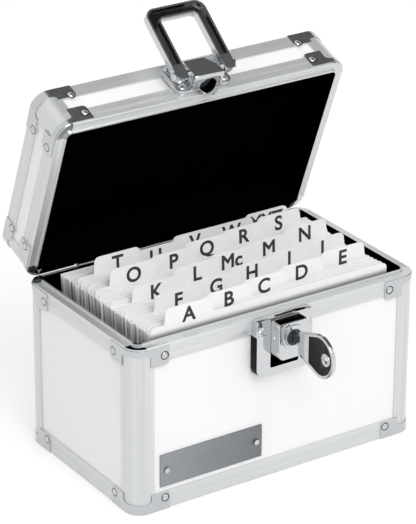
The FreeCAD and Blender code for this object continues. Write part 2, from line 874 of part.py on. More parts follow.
def handle():
    """Channel-section bail, drawn upright with its pivot at the origin and its hollow to the front."""
    half = handle_half_width
    inner = half - handle_bar_width
    depths = (-handle_front, handle_back)
    near = -handle_end_radius
    reach = handle_length - handle_bar_width
    ring = block((-half, half), depths, (near, handle_length))
    ring = rounded(ring, handle_corner_round, y_axis, lambda p: p.z > 0)
    ring = rounded(ring, handle_bar_width / 2 * full_round_share, y_axis, lambda p: p.z < 0)
    window = block((-inner, inner), (-handle_front - cut_over, handle_back + cut_over),
                   (near - cut_over, reach))
    window = rounded(window, handle_window_round, y_axis, lambda p: p.z > 0)
    ring = ring.cut(window)
    outer_x = half - handle_wall
    inner_x = inner + handle_wall
    hollow_y = (-handle_front - cut_over, handle_back - handle_wall)
    hollow = block((-outer_x, outer_x), hollow_y, (handle_hollow_start, handle_length - handle_wall))
    hollow = rounded(hollow, handle_corner_round - handle_wall, y_axis, lambda p: p.z > reach)
    core = block((-inner_x, inner_x), hollow_y, (0, reach + handle_wall))
    core = rounded(core, handle_window_round + handle_wall, y_axis, lambda p: p.z > reach)
    ring = ring.cut(hollow.cut(core))
    bore = rod(handle_pin_radius + fit_gap, Vector(-half - cut_over, 0, 0), Vector(half + cut_over, 0, 0))
    return in_handle_place(ring.cut(bore))


def pin_run(radius, step, start, end):
    """Rod along the handle's pivot axis, between two distances to one side of the latch block."""
    places = [Vector(lock_x + step * distance, handle_y, handle_z) for distance in (start, end)]
    return rod(radius, places[0], places[1])


def handle_pins():
    """Shouldered pins that carry the handle's arms at the sides of the latch block."""
    pins = []
    inner = handle_half_width - handle_bar_width - handle_side_gap
    outer = handle_half_width + handle_side_gap
    for step in (-1, 1):
        pin = pin_run(handle_pin_radius, step, latch_block_half_width - handle_pin_depth, outer)
        collar = pin_run(handle_pin_collar_radius, step, latch_block_half_width, inner)
        head = pin_run(handle_pin_collar_radius, step, outer, outer + handle_pin_head_height)
        pins.append(pin.fuse([collar, head]).removeSplitter())
    return pins


# Name plate on the front panel


def name_plate_pin_places():
    middle = name_plate_bottom + name_plate_height / 2
    ends = (name_plate_left + name_plate_pin_inset,
            name_plate_left + name_plate_length - name_plate_pin_inset)
    face = front_face + edge_sheet - name_plate_thickness
    return [Vector(x, face, middle) for x in ends]


def name_plate():
    face = front_face + edge_sheet
    plate = block((name_plate_left, name_plate_left + name_plate_length), (face - name_plate_thickness, face),
                  (name_plate_bottom, name_plate_bottom + name_plate_height))
    plate = rounded(plate, name_plate_round, y_axis, everywhere)
    radius = name_plate_pin_radius - edge_round + fit_gap
    holes = [rod(radius, p + y_axis * cut_over, p - y_axis * cut_over) for p in name_plate_pin_places()]
    return plate.cut(holes)


def name_plate_pins():
    """Round-headed pins that hold the plate, with their shanks ending at the panel."""
    pins = []
    for place in name_plate_pin_places():
        shank = rod(name_plate_pin_radius - edge_round, place, place + y_axis * name_plate_thickness)
        head = rod(name_plate_pin_radius, place - y_axis * name_plate_pin_height, place)
        pins.append(shank.fuse(head).removeSplitter())
    return pins


# Cards: a fan of guides with plain cards between them


def pack_line(place):
    """Foot and head of the sheet at a share of the pack's depth, as points in Y and Z."""
    lean = math.radians(pack_lean) * place
    front = front_face + lining_inner + card_front_gap
    bottom_depth = pack_top_depth - card_height * math.sin(math.radians(pack_lean))
    foot = Vector(0, front + bottom_depth * place, card_floor)
    return foot, Vector(0, math.sin(lean), math.cos(lean))


def sheet_prism(start, end, height, left, right):
    """Leaning slab of cards between two lines of the fan."""
    foot_a, up_a = pack_line(start)
    foot_b, up_b = pack_line(end)
    points = [foot_a, foot_b, foot_b + up_b * height, foot_a + up_a * height]
    shift = Vector(left, 0, 0)
    return prism([point + shift for point in points], Vector(right - left, 0, 0))


def guide_place(index):
    return index / guide_count


def card_blocks():
    """Plain cards behind each guide, with slightly uneven tops and ends."""
    blocks = []
    bottom_depth = pack_top_depth - card_height * math.sin(math.radians(pack_lean))
    taken = (guide_thickness + guide_gap) / bottom_depth
    for index in range(guide_count):
        start = guide_place(index) + taken
        end = guide_place(index + 1) - guide_gap / bottom_depth
        side = card_side_step * math.sin(card_side_turn * index)
        height = card_height - shoulder_drop - card_drop * (1 + math.sin(card_drop_turn * index)) / 2
        half = card_width / 2
        blocks.append(sheet_prism(start, end, height, side - half, side + half))
    return blocks


def guide_outline(index):
    """Outline of a guide with its tab, from its lower left corner; X right and Z up."""
    left = tab_start + (index % guides_per_row) * tab_width
    right = left + tab_width
    high = card_height
    return [
        (0, 0),
        (card_width, 0),
        (card_width, high - shoulder_drop),
        (card_width - shoulder_run, high),
        (right, high),
        (right, high + tab_rise),
        (left, high + tab_rise),
        (left, high),
        (shoulder_run, high),
        (0, high - shoulder_drop),
    ]


def guide(index):
    foot, up = pack_line(guide_place(index))
    points = [Vector(x - card_width / 2, 0, z) for x, z in guide_outline(index)]
    sheet = prism(points, Vector(0, guide_thickness, 0))
    top = card_height + tab_rise
    sheet = rounded(sheet, tab_corner_round, y_axis, lambda p: abs(p.z - top) < fit_gap)
    sheet.rotate(Vector(), x_axis, -math.degrees(math.atan2(up.y, up.z)))
    lift = guide_thickness * up.y
    return sheet.translated(foot + Vector(0, 0, lift))


def save_shell(prefix, pieces, place):
    for name, shape in pieces.items():
        save(prefix + name, place(shape))


def save_base():
    pieces = half_shell(base_height, base_rim_height, base_tab_reach, "bottom")
    leaf_far = base_height - leaf_height
    grip = leaf_thickness + rivet_grip
    back_spots = leaf_rivets((hinge_z + leaf_far) / 2 - barrel_radius)
    back_holes = [rivet_hole(place, outward, grip) for place, outward in back_spots]
    lock_spots = lock_rivets()
    lock_grip = lock_plate_depth + edge_sheet + rivet_grip
    lock_holes = [rivet_hole(place, outward, lock_grip) for place, outward in lock_spots]
    cutters = [leaf_room(leaf_far)] + back_holes + lock_holes
    for name in ("panel_back", "panel_front", "seam_rim_back", "seam_rim_front"):
        pieces[name] = cut_all(standing(pieces[name]), cutters).translated(Vector(0, 0, -base_height))
    save_shell("base_", pieces, standing)
    save("base_hinge_strip", standing(hinge_strip()))
    save("hinge_leaf_base", hinge_leaf(0, leaf_far, back_holes))
    leaf_heads = [rivet(p, n, grip, leaf_rivet_head_radius) for p, n in back_spots]
    save("hinge_rivets_base", group(leaf_heads))
    half = hinge_length / 2 + hinge_pin_overhang
    save("hinge_pin", hinge_barrel(hinge_pin_radius, (-half, half)))
    save("lock_plate", lock_plate(lock_holes))
    save("lock_plate_rivets", group([rivet(p, n, lock_grip, rivet_head_radius) for p, n in lock_spots]))
    save("lock_box", lock_box())
    save("lock_cylinder", lock_cylinder())
    save("lock_plug", lock_plug())
    save("lock_spring", lock_spring())
    save("key", key())
    save("name_plate", name_plate())
    save("name_plate_pins", group(name_plate_pins()))


def save_lid():
    pieces = half_shell(lid_height, lid_rim_height, lid_tab_reach, "top")
    leaf_far = lid_crease + leaf_height
    grip = leaf_thickness + rivet_grip
    back_spots = leaf_rivets((hinge_z + leaf_far) / 2 + barrel_radius)
    back_holes = [rivet_hole(place, outward, grip) for place, outward in back_spots]
    latch_spots = latch_rivets()
    latch_grip = latch_plate_depth + edge_sheet + rivet_grip
    latch_holes = [rivet_hole(place, outward, latch_grip) for place, outward in latch_spots]
    cutters = [leaf_room(leaf_far)] + back_holes + latch_holes
    shaped = {name: closed(shape) for name, shape in pieces.items()}
    for name in ("panel_back", "panel_front", "seam_rim_back", "seam_rim_front", "top_rims"):
        shaped[name] = cut_all(shaped[name], cutters)
    save_shell("lid_", shaped, opened)
    save("lid_hinge_strip", opened(closed(hinge_strip())))
    save("hinge_leaf_lid", opened(hinge_leaf(1, leaf_far, back_holes)))
    leaf_heads = [rivet(p, n, grip, leaf_rivet_head_radius) for p, n in back_spots]
    save("hinge_rivets_lid", opened(group(leaf_heads)))
    save("latch_plate", opened(latch_plate(latch_holes)))
    rivets = [rivet(p, n, latch_grip, rivet_head_radius) for p, n in latch_spots]
    save("latch_plate_rivets", opened(group(rivets)))
    save("latch_block", opened(latch_block()))
    save("latch_striker", opened(striker()))
    save("handle", opened(handle()))
    save("handle_pins", opened(group(handle_pins())))


def save_cards():
    save("index_cards", group(card_blocks()))
    save("guide_cards", group([guide(index) for index in range(guide_count)]))


os.makedirs("parts", exist_ok=True)
save_base()
save_lid()
save_cards()
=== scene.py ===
"""Card index box with a hinged lid, metal edging, a key lock and a folding handle.

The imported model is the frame. This file gives its nodes their finishes and adds the finer pieces:
the edging, the lock with its key and spring, the latch and handle, the cards and the lettered guides.
"""
import json
import math
import random

import bpy
from mathutils import Matrix, Vector


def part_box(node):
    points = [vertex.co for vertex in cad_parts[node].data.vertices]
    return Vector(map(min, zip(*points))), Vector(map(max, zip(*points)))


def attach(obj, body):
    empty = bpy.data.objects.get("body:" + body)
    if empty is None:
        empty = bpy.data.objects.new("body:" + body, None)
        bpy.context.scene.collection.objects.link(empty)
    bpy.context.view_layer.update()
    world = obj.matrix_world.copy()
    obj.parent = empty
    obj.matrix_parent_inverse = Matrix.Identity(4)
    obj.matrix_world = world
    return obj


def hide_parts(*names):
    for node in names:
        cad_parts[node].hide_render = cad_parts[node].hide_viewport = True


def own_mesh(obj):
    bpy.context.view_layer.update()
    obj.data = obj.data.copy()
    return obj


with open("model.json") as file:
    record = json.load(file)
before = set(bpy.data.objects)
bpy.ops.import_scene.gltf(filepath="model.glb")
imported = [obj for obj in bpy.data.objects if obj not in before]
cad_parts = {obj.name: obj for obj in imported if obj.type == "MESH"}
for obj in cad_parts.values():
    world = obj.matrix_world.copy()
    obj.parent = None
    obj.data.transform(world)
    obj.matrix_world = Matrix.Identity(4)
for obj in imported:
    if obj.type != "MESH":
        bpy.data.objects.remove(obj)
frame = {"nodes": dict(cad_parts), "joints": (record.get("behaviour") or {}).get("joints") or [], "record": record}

bl_info = {
    "name": "Card index box",
    "version": (1, 0, 0),
    "blender": (4, 5, 0),
    "location": "3D View > Sidebar > Card box",
    "description": "Builds the finishes and fine pieces of a lidded card index box",
    "category": "Object",
}

MM = 0.001
SIDES = ("front", "back", "left", "right")
LETTERS = tuple("A B C D E F G H I J K L Mc M N O P Q R S T U V W XYZ".split())
LETTERS_IN_A_ROW = 5
UPRIGHT = Matrix.Rotation(math.radians(90), 4, "X")

# A face counts as facing a way when its normal leans less than about 25 degrees from it
FACING = 0.9
# It is side-on to a way when it leans more than about 70 degrees, and turned to it when under 60
SIDE_ON = 0.3
TURNED = 0.5
# Edges sharper than this are rounded over
SHARP_EDGE = math.radians(40)
# Points of a node's loose triangles that lie closer than this are one point
SAME_POINT = 0.000002


def linear(code):
    """Linear RGBA of an sRGB hex colour."""
    channels = []
    for start in (0, 2, 4):
        value = int(code[start:start + 2], 16) / 255
        if value <= 0.04045:
            channels.append(value / 12.92)
        else:
            channels.append(((value + 0.055) / 1.055) ** 2.4)
    return (*channels, 1.0)


def shade(tone, factor):
    """A colour made darker or lighter by a factor."""
    return [min(1, channel * factor) for channel in tone[:3]] + [1]


def colour(label, note, code):
    return bpy.props.FloatVectorProperty(
        name=label, description=note, default=linear(code), size=4, subtype="COLOR", min=0, max=1)


def length(label, note, millimetres):
    return bpy.props.FloatProperty(
        name=label, description=note, default=millimetres * MM, unit="LENGTH", subtype="DISTANCE")


def share(label, note, value):
    return bpy.props.FloatProperty(
        name=label, description=note, default=value, min=0, max=1, subtype="FACTOR")


def angle(label, note, degrees):
    return bpy.props.FloatProperty(
        name=label, description=note, default=math.radians(degrees), unit="ROTATION")


def point(label, note, place):
    return bpy.props.FloatVectorProperty(
        name=label, description=note, default=place, subtype="TRANSLATION", unit="LENGTH")


class FinishSettings(bpy.types.PropertyGroup):
    """Colours of the finishes."""
    aluminium: colour("Aluminium", "Brushed aluminium of the edging", "DCDEDF")
    nickel: colour("Nickel", "Plated steel of the corner fittings", "C6C8CA")
    chrome: colour("Chrome", "Polished plating of the lock, latch and handle", "D0D2D4")
    rivet: colour("Rivets", "Rivet heads", "CACCCE")
    panel: colour("Panel", "White laminate of the walls", "FBFBFB")
    lining: colour("Lining", "Black lining of both halves", "020202")
    card: colour("Card", "White card", "FAFAFA")
    # Painted shade: the guides are greyed towards this colour below the rim
    card_in_shade: colour("Card in shade", "Guides below the rim", "A4A5A7")
    # Painted shade on the cut ends of the cards: their edges and the gaps between them darken down in the box
    edge_in_shade: colour("Edge in shade", "Cut edges of the cards down in the box", "8E8F91")
    gap: colour("Gap", "Gaps between the cards at their tops", "98999B")
    gap_in_shade: colour("Gap in shade", "Gaps between the cards down in the box", "1E1E1F")
    ink: colour("Ink", "Printed letters", "2C2C2F")
    pewter: colour("Pewter", "Cast name plate", "7E8185")
    # Painted shade: the dark steel put on the insides of the lock and latch, where shade falls
    blackened: colour("Blackened steel", "Shaded insides of the lock and the handle", "1B1C1D")
    # Painted shade: the darker chrome of the handle's hollow
    shaded_chrome: colour("Shaded chrome", "Hollow of the handle", "4E5052")
    # Plain dark colour of the plug's face, which also colours the painted shade round the rivets
    plug: colour("Plug", "Worn face of the lock's plug", "4A4B4D")
    key_field: colour("Key field", "Dark inset field of the key's head", "2A2B2D")


class DetailSettings(bpy.types.PropertyGroup):
    """Sizes of the small details, and the rounding of the pieces' edges."""
    # Painted shade: the dark ring round each rivet
    rivet_shade_ring: length("Rivet seat", "Radius of the dark ring round a rivet", 2.45)
    plate_sink: length("Plate sink", "Depth by which the name plate is let into the panel", 0.3)
    # Corners of the sheet of painted shade behind the lock's window
    sheet_corner: length("Sheet corner", "Radius of the lower corners behind the lock's window", 4.2)
    edging: length("Edging", "Rounding of the edging", 0.12)
    lock_plate: length("Lock plate", "Rounding of the lock plate", 0.45)
    lock_box: length("Lock box", "Rounding of the lock box", 0.3)
    lock_ring: length("Lock ring", "Rounding of the lock's ring", 0.25)
    lock_plug: length("Lock plug", "Rounding of the lock's plug", 0.2)
    key: length("Key", "Rounding of the key", 0.2)
    latch_plate: length("Latch plate", "Rounding of the latch plate", 0.3)
    latch_block: length("Latch block", "Rounding of the latch block", 0.4)
    handle: length("Handle", "Rounding of the handle", 0.4)
    name_plate: length("Name plate", "Rounding of the name plate", 0.15)


class CardSettings(bpy.types.PropertyGroup):
    """Sizes of the cards and of the letters on the guides."""
    sheets: bpy.props.IntProperty(
        name="Sheets", description="Loose cards between one guide and the next", default=7, min=1)
    width: length("Card width", "Width of a card", 152.4)
    height: length("Card height", "Height of a card below the guides' shoulders", 96.0)
    front: length("Front", "Place of the first guide's foot along the depth", -46.7)
    floor: length("Floor", "Height of the floor that the cards stand on", 4.4)
    foot_depth: length("Foot depth", "Depth of the pack at its foot", 82.789)
    lean: angle("Lean", "Lean of the last guide", 5)
    worn_edge: length("Worn edge", "Width of the worn edge of a loose card", 0.05)
    stray: share("Stray", "Share of the loose cards that stand out to the left", 0.12)
    guide_thickness: length("Guide thickness", "Thickness of a guide", 0.5)
    guide_height: length("Guide height", "Height of a guide without its tab", 98.8)
    tab_half: length("Tab", "Half the width of a guide's tab", 15.2)
    tab_rise: length("Tab rise", "Height of a tab above its guide", 9.0)
    tab_round: length("Tab corners", "Radius of a tab's upper corners", 2.8)
    tab_taper: share("Tab taper", "Width of a tab at its top as a share of its foot", 0.93)
    letter_height: length("Letter height", "Height of a capital letter", 8.4)
    letter_centre: length("Letter centre", "Height of the letters above the guide's foot", 101.4)
    letter_start: length("Letter start", "Place of the first letter from the middle", -48.8)
    letter_pitch: length("Letter pitch", "Distance from one letter to the next", 26.76)
    letter_weight: length("Letter weight", "Width added round a letter's strokes", 0.3)
    ink_thickness: length("Ink thickness", "Thickness of the printed ink", 0.05)


class StageSettings(bpy.types.PropertyGroup):
    """Camera, floor and light."""
    lens: bpy.props.FloatProperty(
        name="Lens", description="Focal length for a sensor 36 mm high", default=187.9, unit="CAMERA")
    yaw: angle("Yaw", "Turn of the view from straight back", 33.69)
    pitch: angle("Pitch", "Tilt of the view below the horizon", 24.587)
    roll: angle("Roll", "Turn of the view about its own axis", 0.231)
    camera_place: point("Camera", "Place of the camera", (-0.7557, -1.1192, 0.7227))
    floor: colour("Floor", "Pale studio floor", "E8E8E8")
    floor_glow: share("Floor glow", "White added to the floor where the camera sees it", 0.3)
    ambient: bpy.props.FloatProperty(
        name="Ambient", description="Strength of the soft light from all round", default=0.76, min=0)
    key_light: bpy.props.FloatProperty(
        name="Softbox", description="Power of the softbox above the front", default=15, unit="POWER")
    softbox_size: length("Softbox size", "Side of the softbox", 1200)
    softbox_place: point("Softbox place", "Place of the softbox", (-0.15, -1.4, 1.55))
    softbox_target: point("Softbox target", "Point that the softbox faces", (0, 0, 0.09))
    flag: colour("Flag", "Grey card that the polished metal mirrors", "6C6C6C")
    flag_width: length("Flag width", "Width of the grey card", 1900)
    flag_depth: length("Flag depth", "Depth of the grey card", 1500)
    flag_place: point("Flag place", "Place of the grey card", (0.78, 0.06, 1.36))
    flag_target: point("Flag target", "Point that the grey card faces", (0, 0.03, 0.2))


def add_node(tree, kind, inputs=None, **settings):
    """Add a shader node, set it up, and set or link its inputs."""
    node = tree.nodes.new("ShaderNode" + kind)
    for key, value in settings.items():
        setattr(node, key, value)
    for key, value in (inputs or {}).items():
        if isinstance(value, bpy.types.NodeSocket):
            tree.links.new(value, node.inputs[key])
        else:
            node.inputs[key].default_value = value
    return node


def make_material(name, surface, *details):
    """A material whose shader is built by the surface function from the details."""
    material = bpy.data.materials.new(name)
    material.use_nodes = True
    tree = material.node_tree
    tree.nodes.clear()
    shader = surface(tree, *details)
    add_node(tree, "OutputMaterial", {"Surface": shader.outputs[0]})
    return material


def brushed_aluminium(tree, settings, stretch, tilt):
    """Anodised aluminium strip, brushed along its length: long hairlines that soften its shine."""
    place = add_node(tree, "TexCoord").outputs["Object"]
    turned = add_node(tree, "Mapping", {"Vector": place, "Rotation": (tilt, 0, 0)})
    along = add_node(tree, "Mapping", {"Vector": turned.outputs[0], "Scale": stretch})
    # Hairlines are about 0.05 mm wide, drawn at 0.7 mm so that they show
    hairs = add_node(tree, "TexNoise", {"Vector": along.outputs[0], "Scale": 1, "Detail": 4,
                                        "Roughness": 0.6})
    broad = add_node(tree, "TexNoise", {"Vector": along.outputs[0], "Scale": 0.18, "Detail": 2})
    mixed = add_node(tree, "Math", {0: hairs.outputs[0], 1: broad.outputs[0]}, operation="ADD")
    tone = add_node(tree, "MapRange", {"Value": mixed.outputs[0], "From Min": 0.7, "From Max": 1.3})
    dark = shade(settings.aluminium, 0.86)
    tint = add_node(tree, "Mix", {0: tone.outputs[0], 6: dark, 7: settings.aluminium[:]},
                    data_type="RGBA")
    rough = add_node(tree, "MapRange", {"Value": hairs.outputs[0], "To Min": 0.26, "To Max": 0.46})
    bump = add_node(tree, "Bump", {"Height": hairs.outputs[0], "Strength": 0.05, "Distance": 0.0001})
    return add_node(tree, "BsdfPrincipled", {"Base Color": tint.outputs[2], "Metallic": 0.5,
                                             "Roughness": rough.outputs[0],
                                             "Normal": bump.outputs[0]})


def plated_steel(tree, tone, smooth, worn):
    """Plated steel, polished: mirror-like, with faint rubbed patches from handling."""
    place = add_node(tree, "TexCoord").outputs["Object"]
    # Rubbed patches are 3 to 6 mm across
    cloud = add_node(tree, "TexNoise", {"Vector": place, "Scale": 220, "Detail": 3})
    rough = add_node(tree, "MapRange", {"Value": cloud.outputs[0], "From Min": 0.3, "From Max": 0.7,
                                        "To Min": smooth, "To Max": worn})
    dim = shade(tone, 0.9)
    tint = add_node(tree, "Mix", {0: cloud.outputs[0], 6: dim, 7: tone[:]}, data_type="RGBA")
    return add_node(tree, "BsdfPrincipled", {"Base Color": tint.outputs[2], "Metallic": 1.0,
                                             "Roughness": rough.outputs[0]})


def white_laminate(tree, settings):
    """Melamine laminate on fibreboard: even white, with the finest pebble grain and a low sheen."""
    place = add_node(tree, "TexCoord").outputs["Object"]
    # Pebbles are 0.6 mm across, and the faint clouds 30 mm
    grain = add_node(tree, "TexNoise", {"Vector": place, "Scale": 1600, "Detail": 2})
    cloud = add_node(tree, "TexNoise", {"Vector": place, "Scale": 30, "Detail": 2})
    dim = shade(settings.panel, 0.975)
    tint = add_node(tree, "Mix", {0: cloud.outputs[0], 6: dim, 7: settings.panel[:]}, data_type="RGBA")
    rough = add_node(tree, "MapRange", {"Value": grain.outputs[0], "To Min": 0.38, "To Max": 0.52})
    bump = add_node(tree, "Bump", {"Height": grain.outputs[0], "Strength": 0.04, "Distance": 0.0001})
    return add_node(tree, "BsdfPrincipled", {"Base Color": tint.outputs[2], "IOR": 1.5,
                                             "Roughness": rough.outputs[0],
                                             "Normal": bump.outputs[0]})


def black_lining(tree, settings):
    """Flocked sheet: short black fibres that take in nearly all light."""
    place = add_node(tree, "TexCoord").outputs["Object"]
    # Fibres are 0.5 mm long, and rubbed patches 17 mm across
    fibres = add_node(tree, "TexNoise", {"Vector": place, "Scale": 2000, "Detail": 3})
    cloud = add_node(tree, "TexNoise", {"Vector": place, "Scale": 60, "Detail": 2})
    pale = shade(settings.lining, 1.5)
    tint = add_node(tree, "Mix", {0: cloud.outputs[0], 6: settings.lining[:], 7: pale}, data_type="RGBA")
    bump = add_node(tree, "Bump", {"Height": fibres.outputs[0], "Strength": 0.5, "Distance": 0.0003})
    return add_node(tree, "BsdfPrincipled", {"Base Color": tint.outputs[2], "Roughness": 1.0,
                                             "Specular IOR Level": 0.0,
                                             "Normal": bump.outputs[0]})


# Heights in metres between which a guide, and the cut edges of the cards, go from painted shade to their own
# colour
GUIDE_SHADE = (0.0972, 0.1012)
EDGE_SHADE = (0.0925, 0.1005)


def card_stock(tree, settings, fade):
    """Uncoated white card: matt, with fine paper fibre; one that fades gets painted shade, greyer down inside the
    box.
    """
    place = add_node(tree, "TexCoord").outputs["Object"]
    # Fibre clots are 0.8 mm across
    fibre = add_node(tree, "TexNoise", {"Vector": place, "Scale": 1200, "Detail": 4})
    dim = shade(settings.card, 0.965)
    tint = add_node(tree, "Mix", {0: fibre.outputs[0], 6: dim, 7: settings.card[:]}, data_type="RGBA")
    bump = add_node(tree, "Bump", {"Height": fibre.outputs[0], "Strength": 0.08, "Distance": 0.0001})
    colour_out = tint.outputs[2]
    if fade:
        # Painted shade: the guide greys towards its shaded colour below the rim
        split = add_node(tree, "SeparateXYZ", {0: place})
        depth = add_node(tree, "MapRange", {"Value": split.outputs["Z"], "From Min": GUIDE_SHADE[0],
                                            "From Max": GUIDE_SHADE[1], "To Min": 1.0, "To Max": 0.0},
                         interpolation_type="SMOOTHSTEP")
        grey = add_node(tree, "Mix", {0: depth.outputs[0], 6: colour_out, 7: settings.card_in_shade[:]},
                        data_type="RGBA")
        colour_out = grey.outputs[2]
    return add_node(tree, "BsdfPrincipled", {"Base Color": colour_out, "Roughness": 0.85,
                                             "Specular IOR Level": 0.25, "Normal": bump.outputs[0]})


def card_edges(tree, settings):
    """Cut ends of the stacked cards: pale edges with painted shade in the gaps between them, and more painted
    shade down in the box.
    """
    place = add_node(tree, "TexCoord").outputs["Object"]
    # A bundle of cards is 1.3 mm thick between its gaps
    along = add_node(tree, "Mapping", {"Vector": place, "Scale": (1, 760, 16)})
    gaps = add_node(tree, "TexNoise", {"Vector": along.outputs[0], "Scale": 1, "Detail": 3})
    pale = add_node(tree, "MapRange", {"Value": gaps.outputs[0], "From Min": 0.4, "From Max": 0.56})
    split = add_node(tree, "SeparateXYZ", {0: place})
    rise = add_node(tree, "MapRange", {"Value": split.outputs["Z"], "From Min": EDGE_SHADE[0],
                                       "From Max": EDGE_SHADE[1]})
    # Painted shade in the gaps between the cards, deeper down in the box
    dark = add_node(tree, "Mix", {0: rise.outputs[0], 6: settings.gap_in_shade[:], 7: settings.gap[:]},
                    data_type="RGBA")
    # Card white, with painted shade down in the box
    light = add_node(tree, "Mix", {0: rise.outputs[0], 6: settings.edge_in_shade[:], 7: settings.card[:]},
                     data_type="RGBA")
    tint = add_node(tree, "Mix", {0: pale.outputs[0], 6: dark.outputs[2], 7: light.outputs[2]},
                    data_type="RGBA")
    bump = add_node(tree, "Bump", {"Height": gaps.outputs[0], "Strength": 0.3, "Distance": 0.0002})
    return add_node(tree, "BsdfPrincipled", {"Base Color": tint.outputs[2], "Roughness": 0.9,
                                             "Specular IOR Level": 0.1, "Normal": bump.outputs[0]})


def printed_ink(tree, settings):
    """Offset printing ink: flat dark grey that lets a little of the card's fibre through."""
    place = add_node(tree, "TexCoord").outputs["Object"]
    # Specks are 0.5 mm across
    speck = add_node(tree, "TexNoise", {"Vector": place, "Scale": 2000, "Detail": 2})
    pale = shade(settings.ink, 1.35)
    tint = add_node(tree, "Mix", {0: speck.outputs[0], 6: settings.ink[:], 7: pale}, data_type="RGBA")
    return add_node(tree, "BsdfPrincipled", {"Base Color": tint.outputs[2], "Roughness": 0.7})


def cast_pewter(tree, settings):
    """Cast pewter plate: dark grey metal, softly mottled, with painted light that makes it lighter at its left end
    and darker to its right.
    """
    place = add_node(tree, "TexCoord").outputs["Object"]
    # Casting mottle is 2 mm across, and its grain 0.4 mm
    mottle = add_node(tree, "TexNoise", {"Vector": place, "Scale": 480, "Detail": 4, "Roughness": 0.65})
    grain = add_node(tree, "TexNoise", {"Vector": place, "Scale": 2400, "Detail": 2})
    split = add_node(tree, "SeparateXYZ", {0: place})
    low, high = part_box("name_plate")
    # Painted light: the plate goes from light at its left end to dark at its right
    rubbed = add_node(tree, "MapRange", {"Value": split.outputs["X"], "From Min": low.x,
                                         "From Max": high.x, "To Min": 0.85, "To Max": 0.3})
    soft = add_node(tree, "Math", {0: mottle.outputs[0], 1: 0.35}, operation="MULTIPLY")
    tone = add_node(tree, "Math", {0: rubbed.outputs[0], 1: soft.outputs[0]}, operation="ADD",
                    use_clamp=True)
    dark = shade(settings.pewter, 0.45)
    pale = shade(settings.pewter, 1.5)
    tint = add_node(tree, "Mix", {0: tone.outputs[0], 6: dark, 7: pale}, data_type="RGBA")
    rough = add_node(tree, "MapRange", {"Value": mottle.outputs[0], "To Min": 0.35, "To Max": 0.6})
    bump = add_node(tree, "Bump", {"Height": grain.outputs[0], "Strength": 0.12, "Distance": 0.0002})
    return add_node(tree, "BsdfPrincipled", {"Base Color": tint.outputs[2], "Metallic": 1.0,
                                             "Roughness": rough.outputs[0],
                                             "Normal": bump.outputs[0]})


# The finishes by name, made by the finishes operator
finishes = {}


def finish(material, *nodes):
    """Give nodes of the frame one material all over."""
    for node in nodes:
        piece = frame["nodes"][node]
        piece.data.materials.clear()
        piece.data.materials.append(finishes[material])


def both(*names):
    """Node names with the prefix of each half."""
    return [half + name for half in ("base_", "lid_") for name in names]


def joint(name):
    """The frame's joint of that name."""
    for entry in frame["joints"]:
        if entry["name"] == name:
            return entry
    raise ValueError("the frame has no joint " + name)


def body_of(node):
    """The body that a node of the frame rides on."""
    for body, members in frame["record"]["behaviour"]["bodies"].items():
        if node in members:
            return body
    raise ValueError("no body of the frame holds " + node)


def lid_opening():
    """Angle by which the lid stands open at rest."""
    return -math.radians(joint("lid_hinge")["range_deg"][0])


def lid_turn():
    """Turn that opens the lid about its hinge."""
    hinge = Vector(joint("lid_hinge")["pos_m"])
    turn = Matrix.Rotation(-lid_opening(), 4, "X")
    return Matrix.Translation(hinge) @ turn @ Matrix.Translation(-hinge)


def rim_foot():
    """Height of the lower edge of the front rim, below which the lock plate shows against the panel."""
    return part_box("base_seam_rim_front")[0].z


def deselect():
    """Leave edit mode with nothing selected."""
    if bpy.context.object and bpy.context.object.mode != "OBJECT":
        bpy.ops.object.mode_set(mode="OBJECT")
    bpy.ops.object.select_all(action="DESELECT")


def select_only(*pieces):
    """Select these pieces and no others; the first becomes the active one."""
    deselect()
    for piece in pieces:
        piece.select_set(True)
    bpy.context.view_layer.objects.active = pieces[0]


def edit_whole():
    """Enter edit mode with all of the piece selected."""
    bpy.ops.object.mode_set(mode="EDIT")
    bpy.ops.mesh.select_all(action="SELECT")


def leave_edit():
    bpy.ops.object.mode_set(mode="OBJECT")


def select_where(piece, kind, test):
    """Enter edit mode with those of the piece's points or edges selected that pass a test."""
    bpy.ops.object.mode_set(mode="EDIT")
    bpy.ops.mesh.select_mode(type=kind)
    bpy.ops.mesh.select_all(action="DESELECT")
    leave_edit()
    elements = {"VERT": piece.data.vertices, "EDGE": piece.data.edges}
    for element in elements[kind]:
        element.select = test(element)
    bpy.ops.object.mode_set(mode="EDIT")


def thicken(rise):
    """Draw the flat sheet in edit mode up, or down, to its thickness, and leave edit mode."""
    bpy.ops.mesh.select_all(action="SELECT")
    bpy.ops.mesh.extrude_region_move(TRANSFORM_OT_translate={"value": (0, 0, rise)})
    bpy.ops.mesh.select_all(action="SELECT")
    bpy.ops.mesh.normals_make_consistent(inside=False)
    leave_edit()


def apply_place(*pieces):
    """Move each piece's place into its mesh."""
    select_only(*pieces)
    bpy.ops.object.transform_apply(location=True, rotation=True, scale=True)


def join(pieces, name):
    """Join pieces into one named object."""
    select_only(*pieces)
    bpy.ops.object.join()
    whole = bpy.context.object
    whole.name = name
    whole.data.name = name
    return whole


def twin(piece):
    """Copy of a piece with a mesh of its own."""
    copy = piece.copy()
    copy.data = piece.data.copy()
    bpy.context.collection.objects.link(copy)
    return copy


def copy_node(node, name):
    """Copy of a node's shape as a new piece in its place, merged and ready to be shaped and painted."""
    piece = bpy.data.objects.new(name, frame["nodes"][node].data.copy())
    bpy.context.collection.objects.link(piece)
    select_only(piece)
    bpy.ops.mesh.customdata_custom_splitnormals_clear()
    edit_whole()
    bpy.ops.mesh.remove_doubles(threshold=SAME_POINT)
    bpy.ops.mesh.dissolve_limited(angle_limit=math.radians(1))
    leave_edit()
    return piece


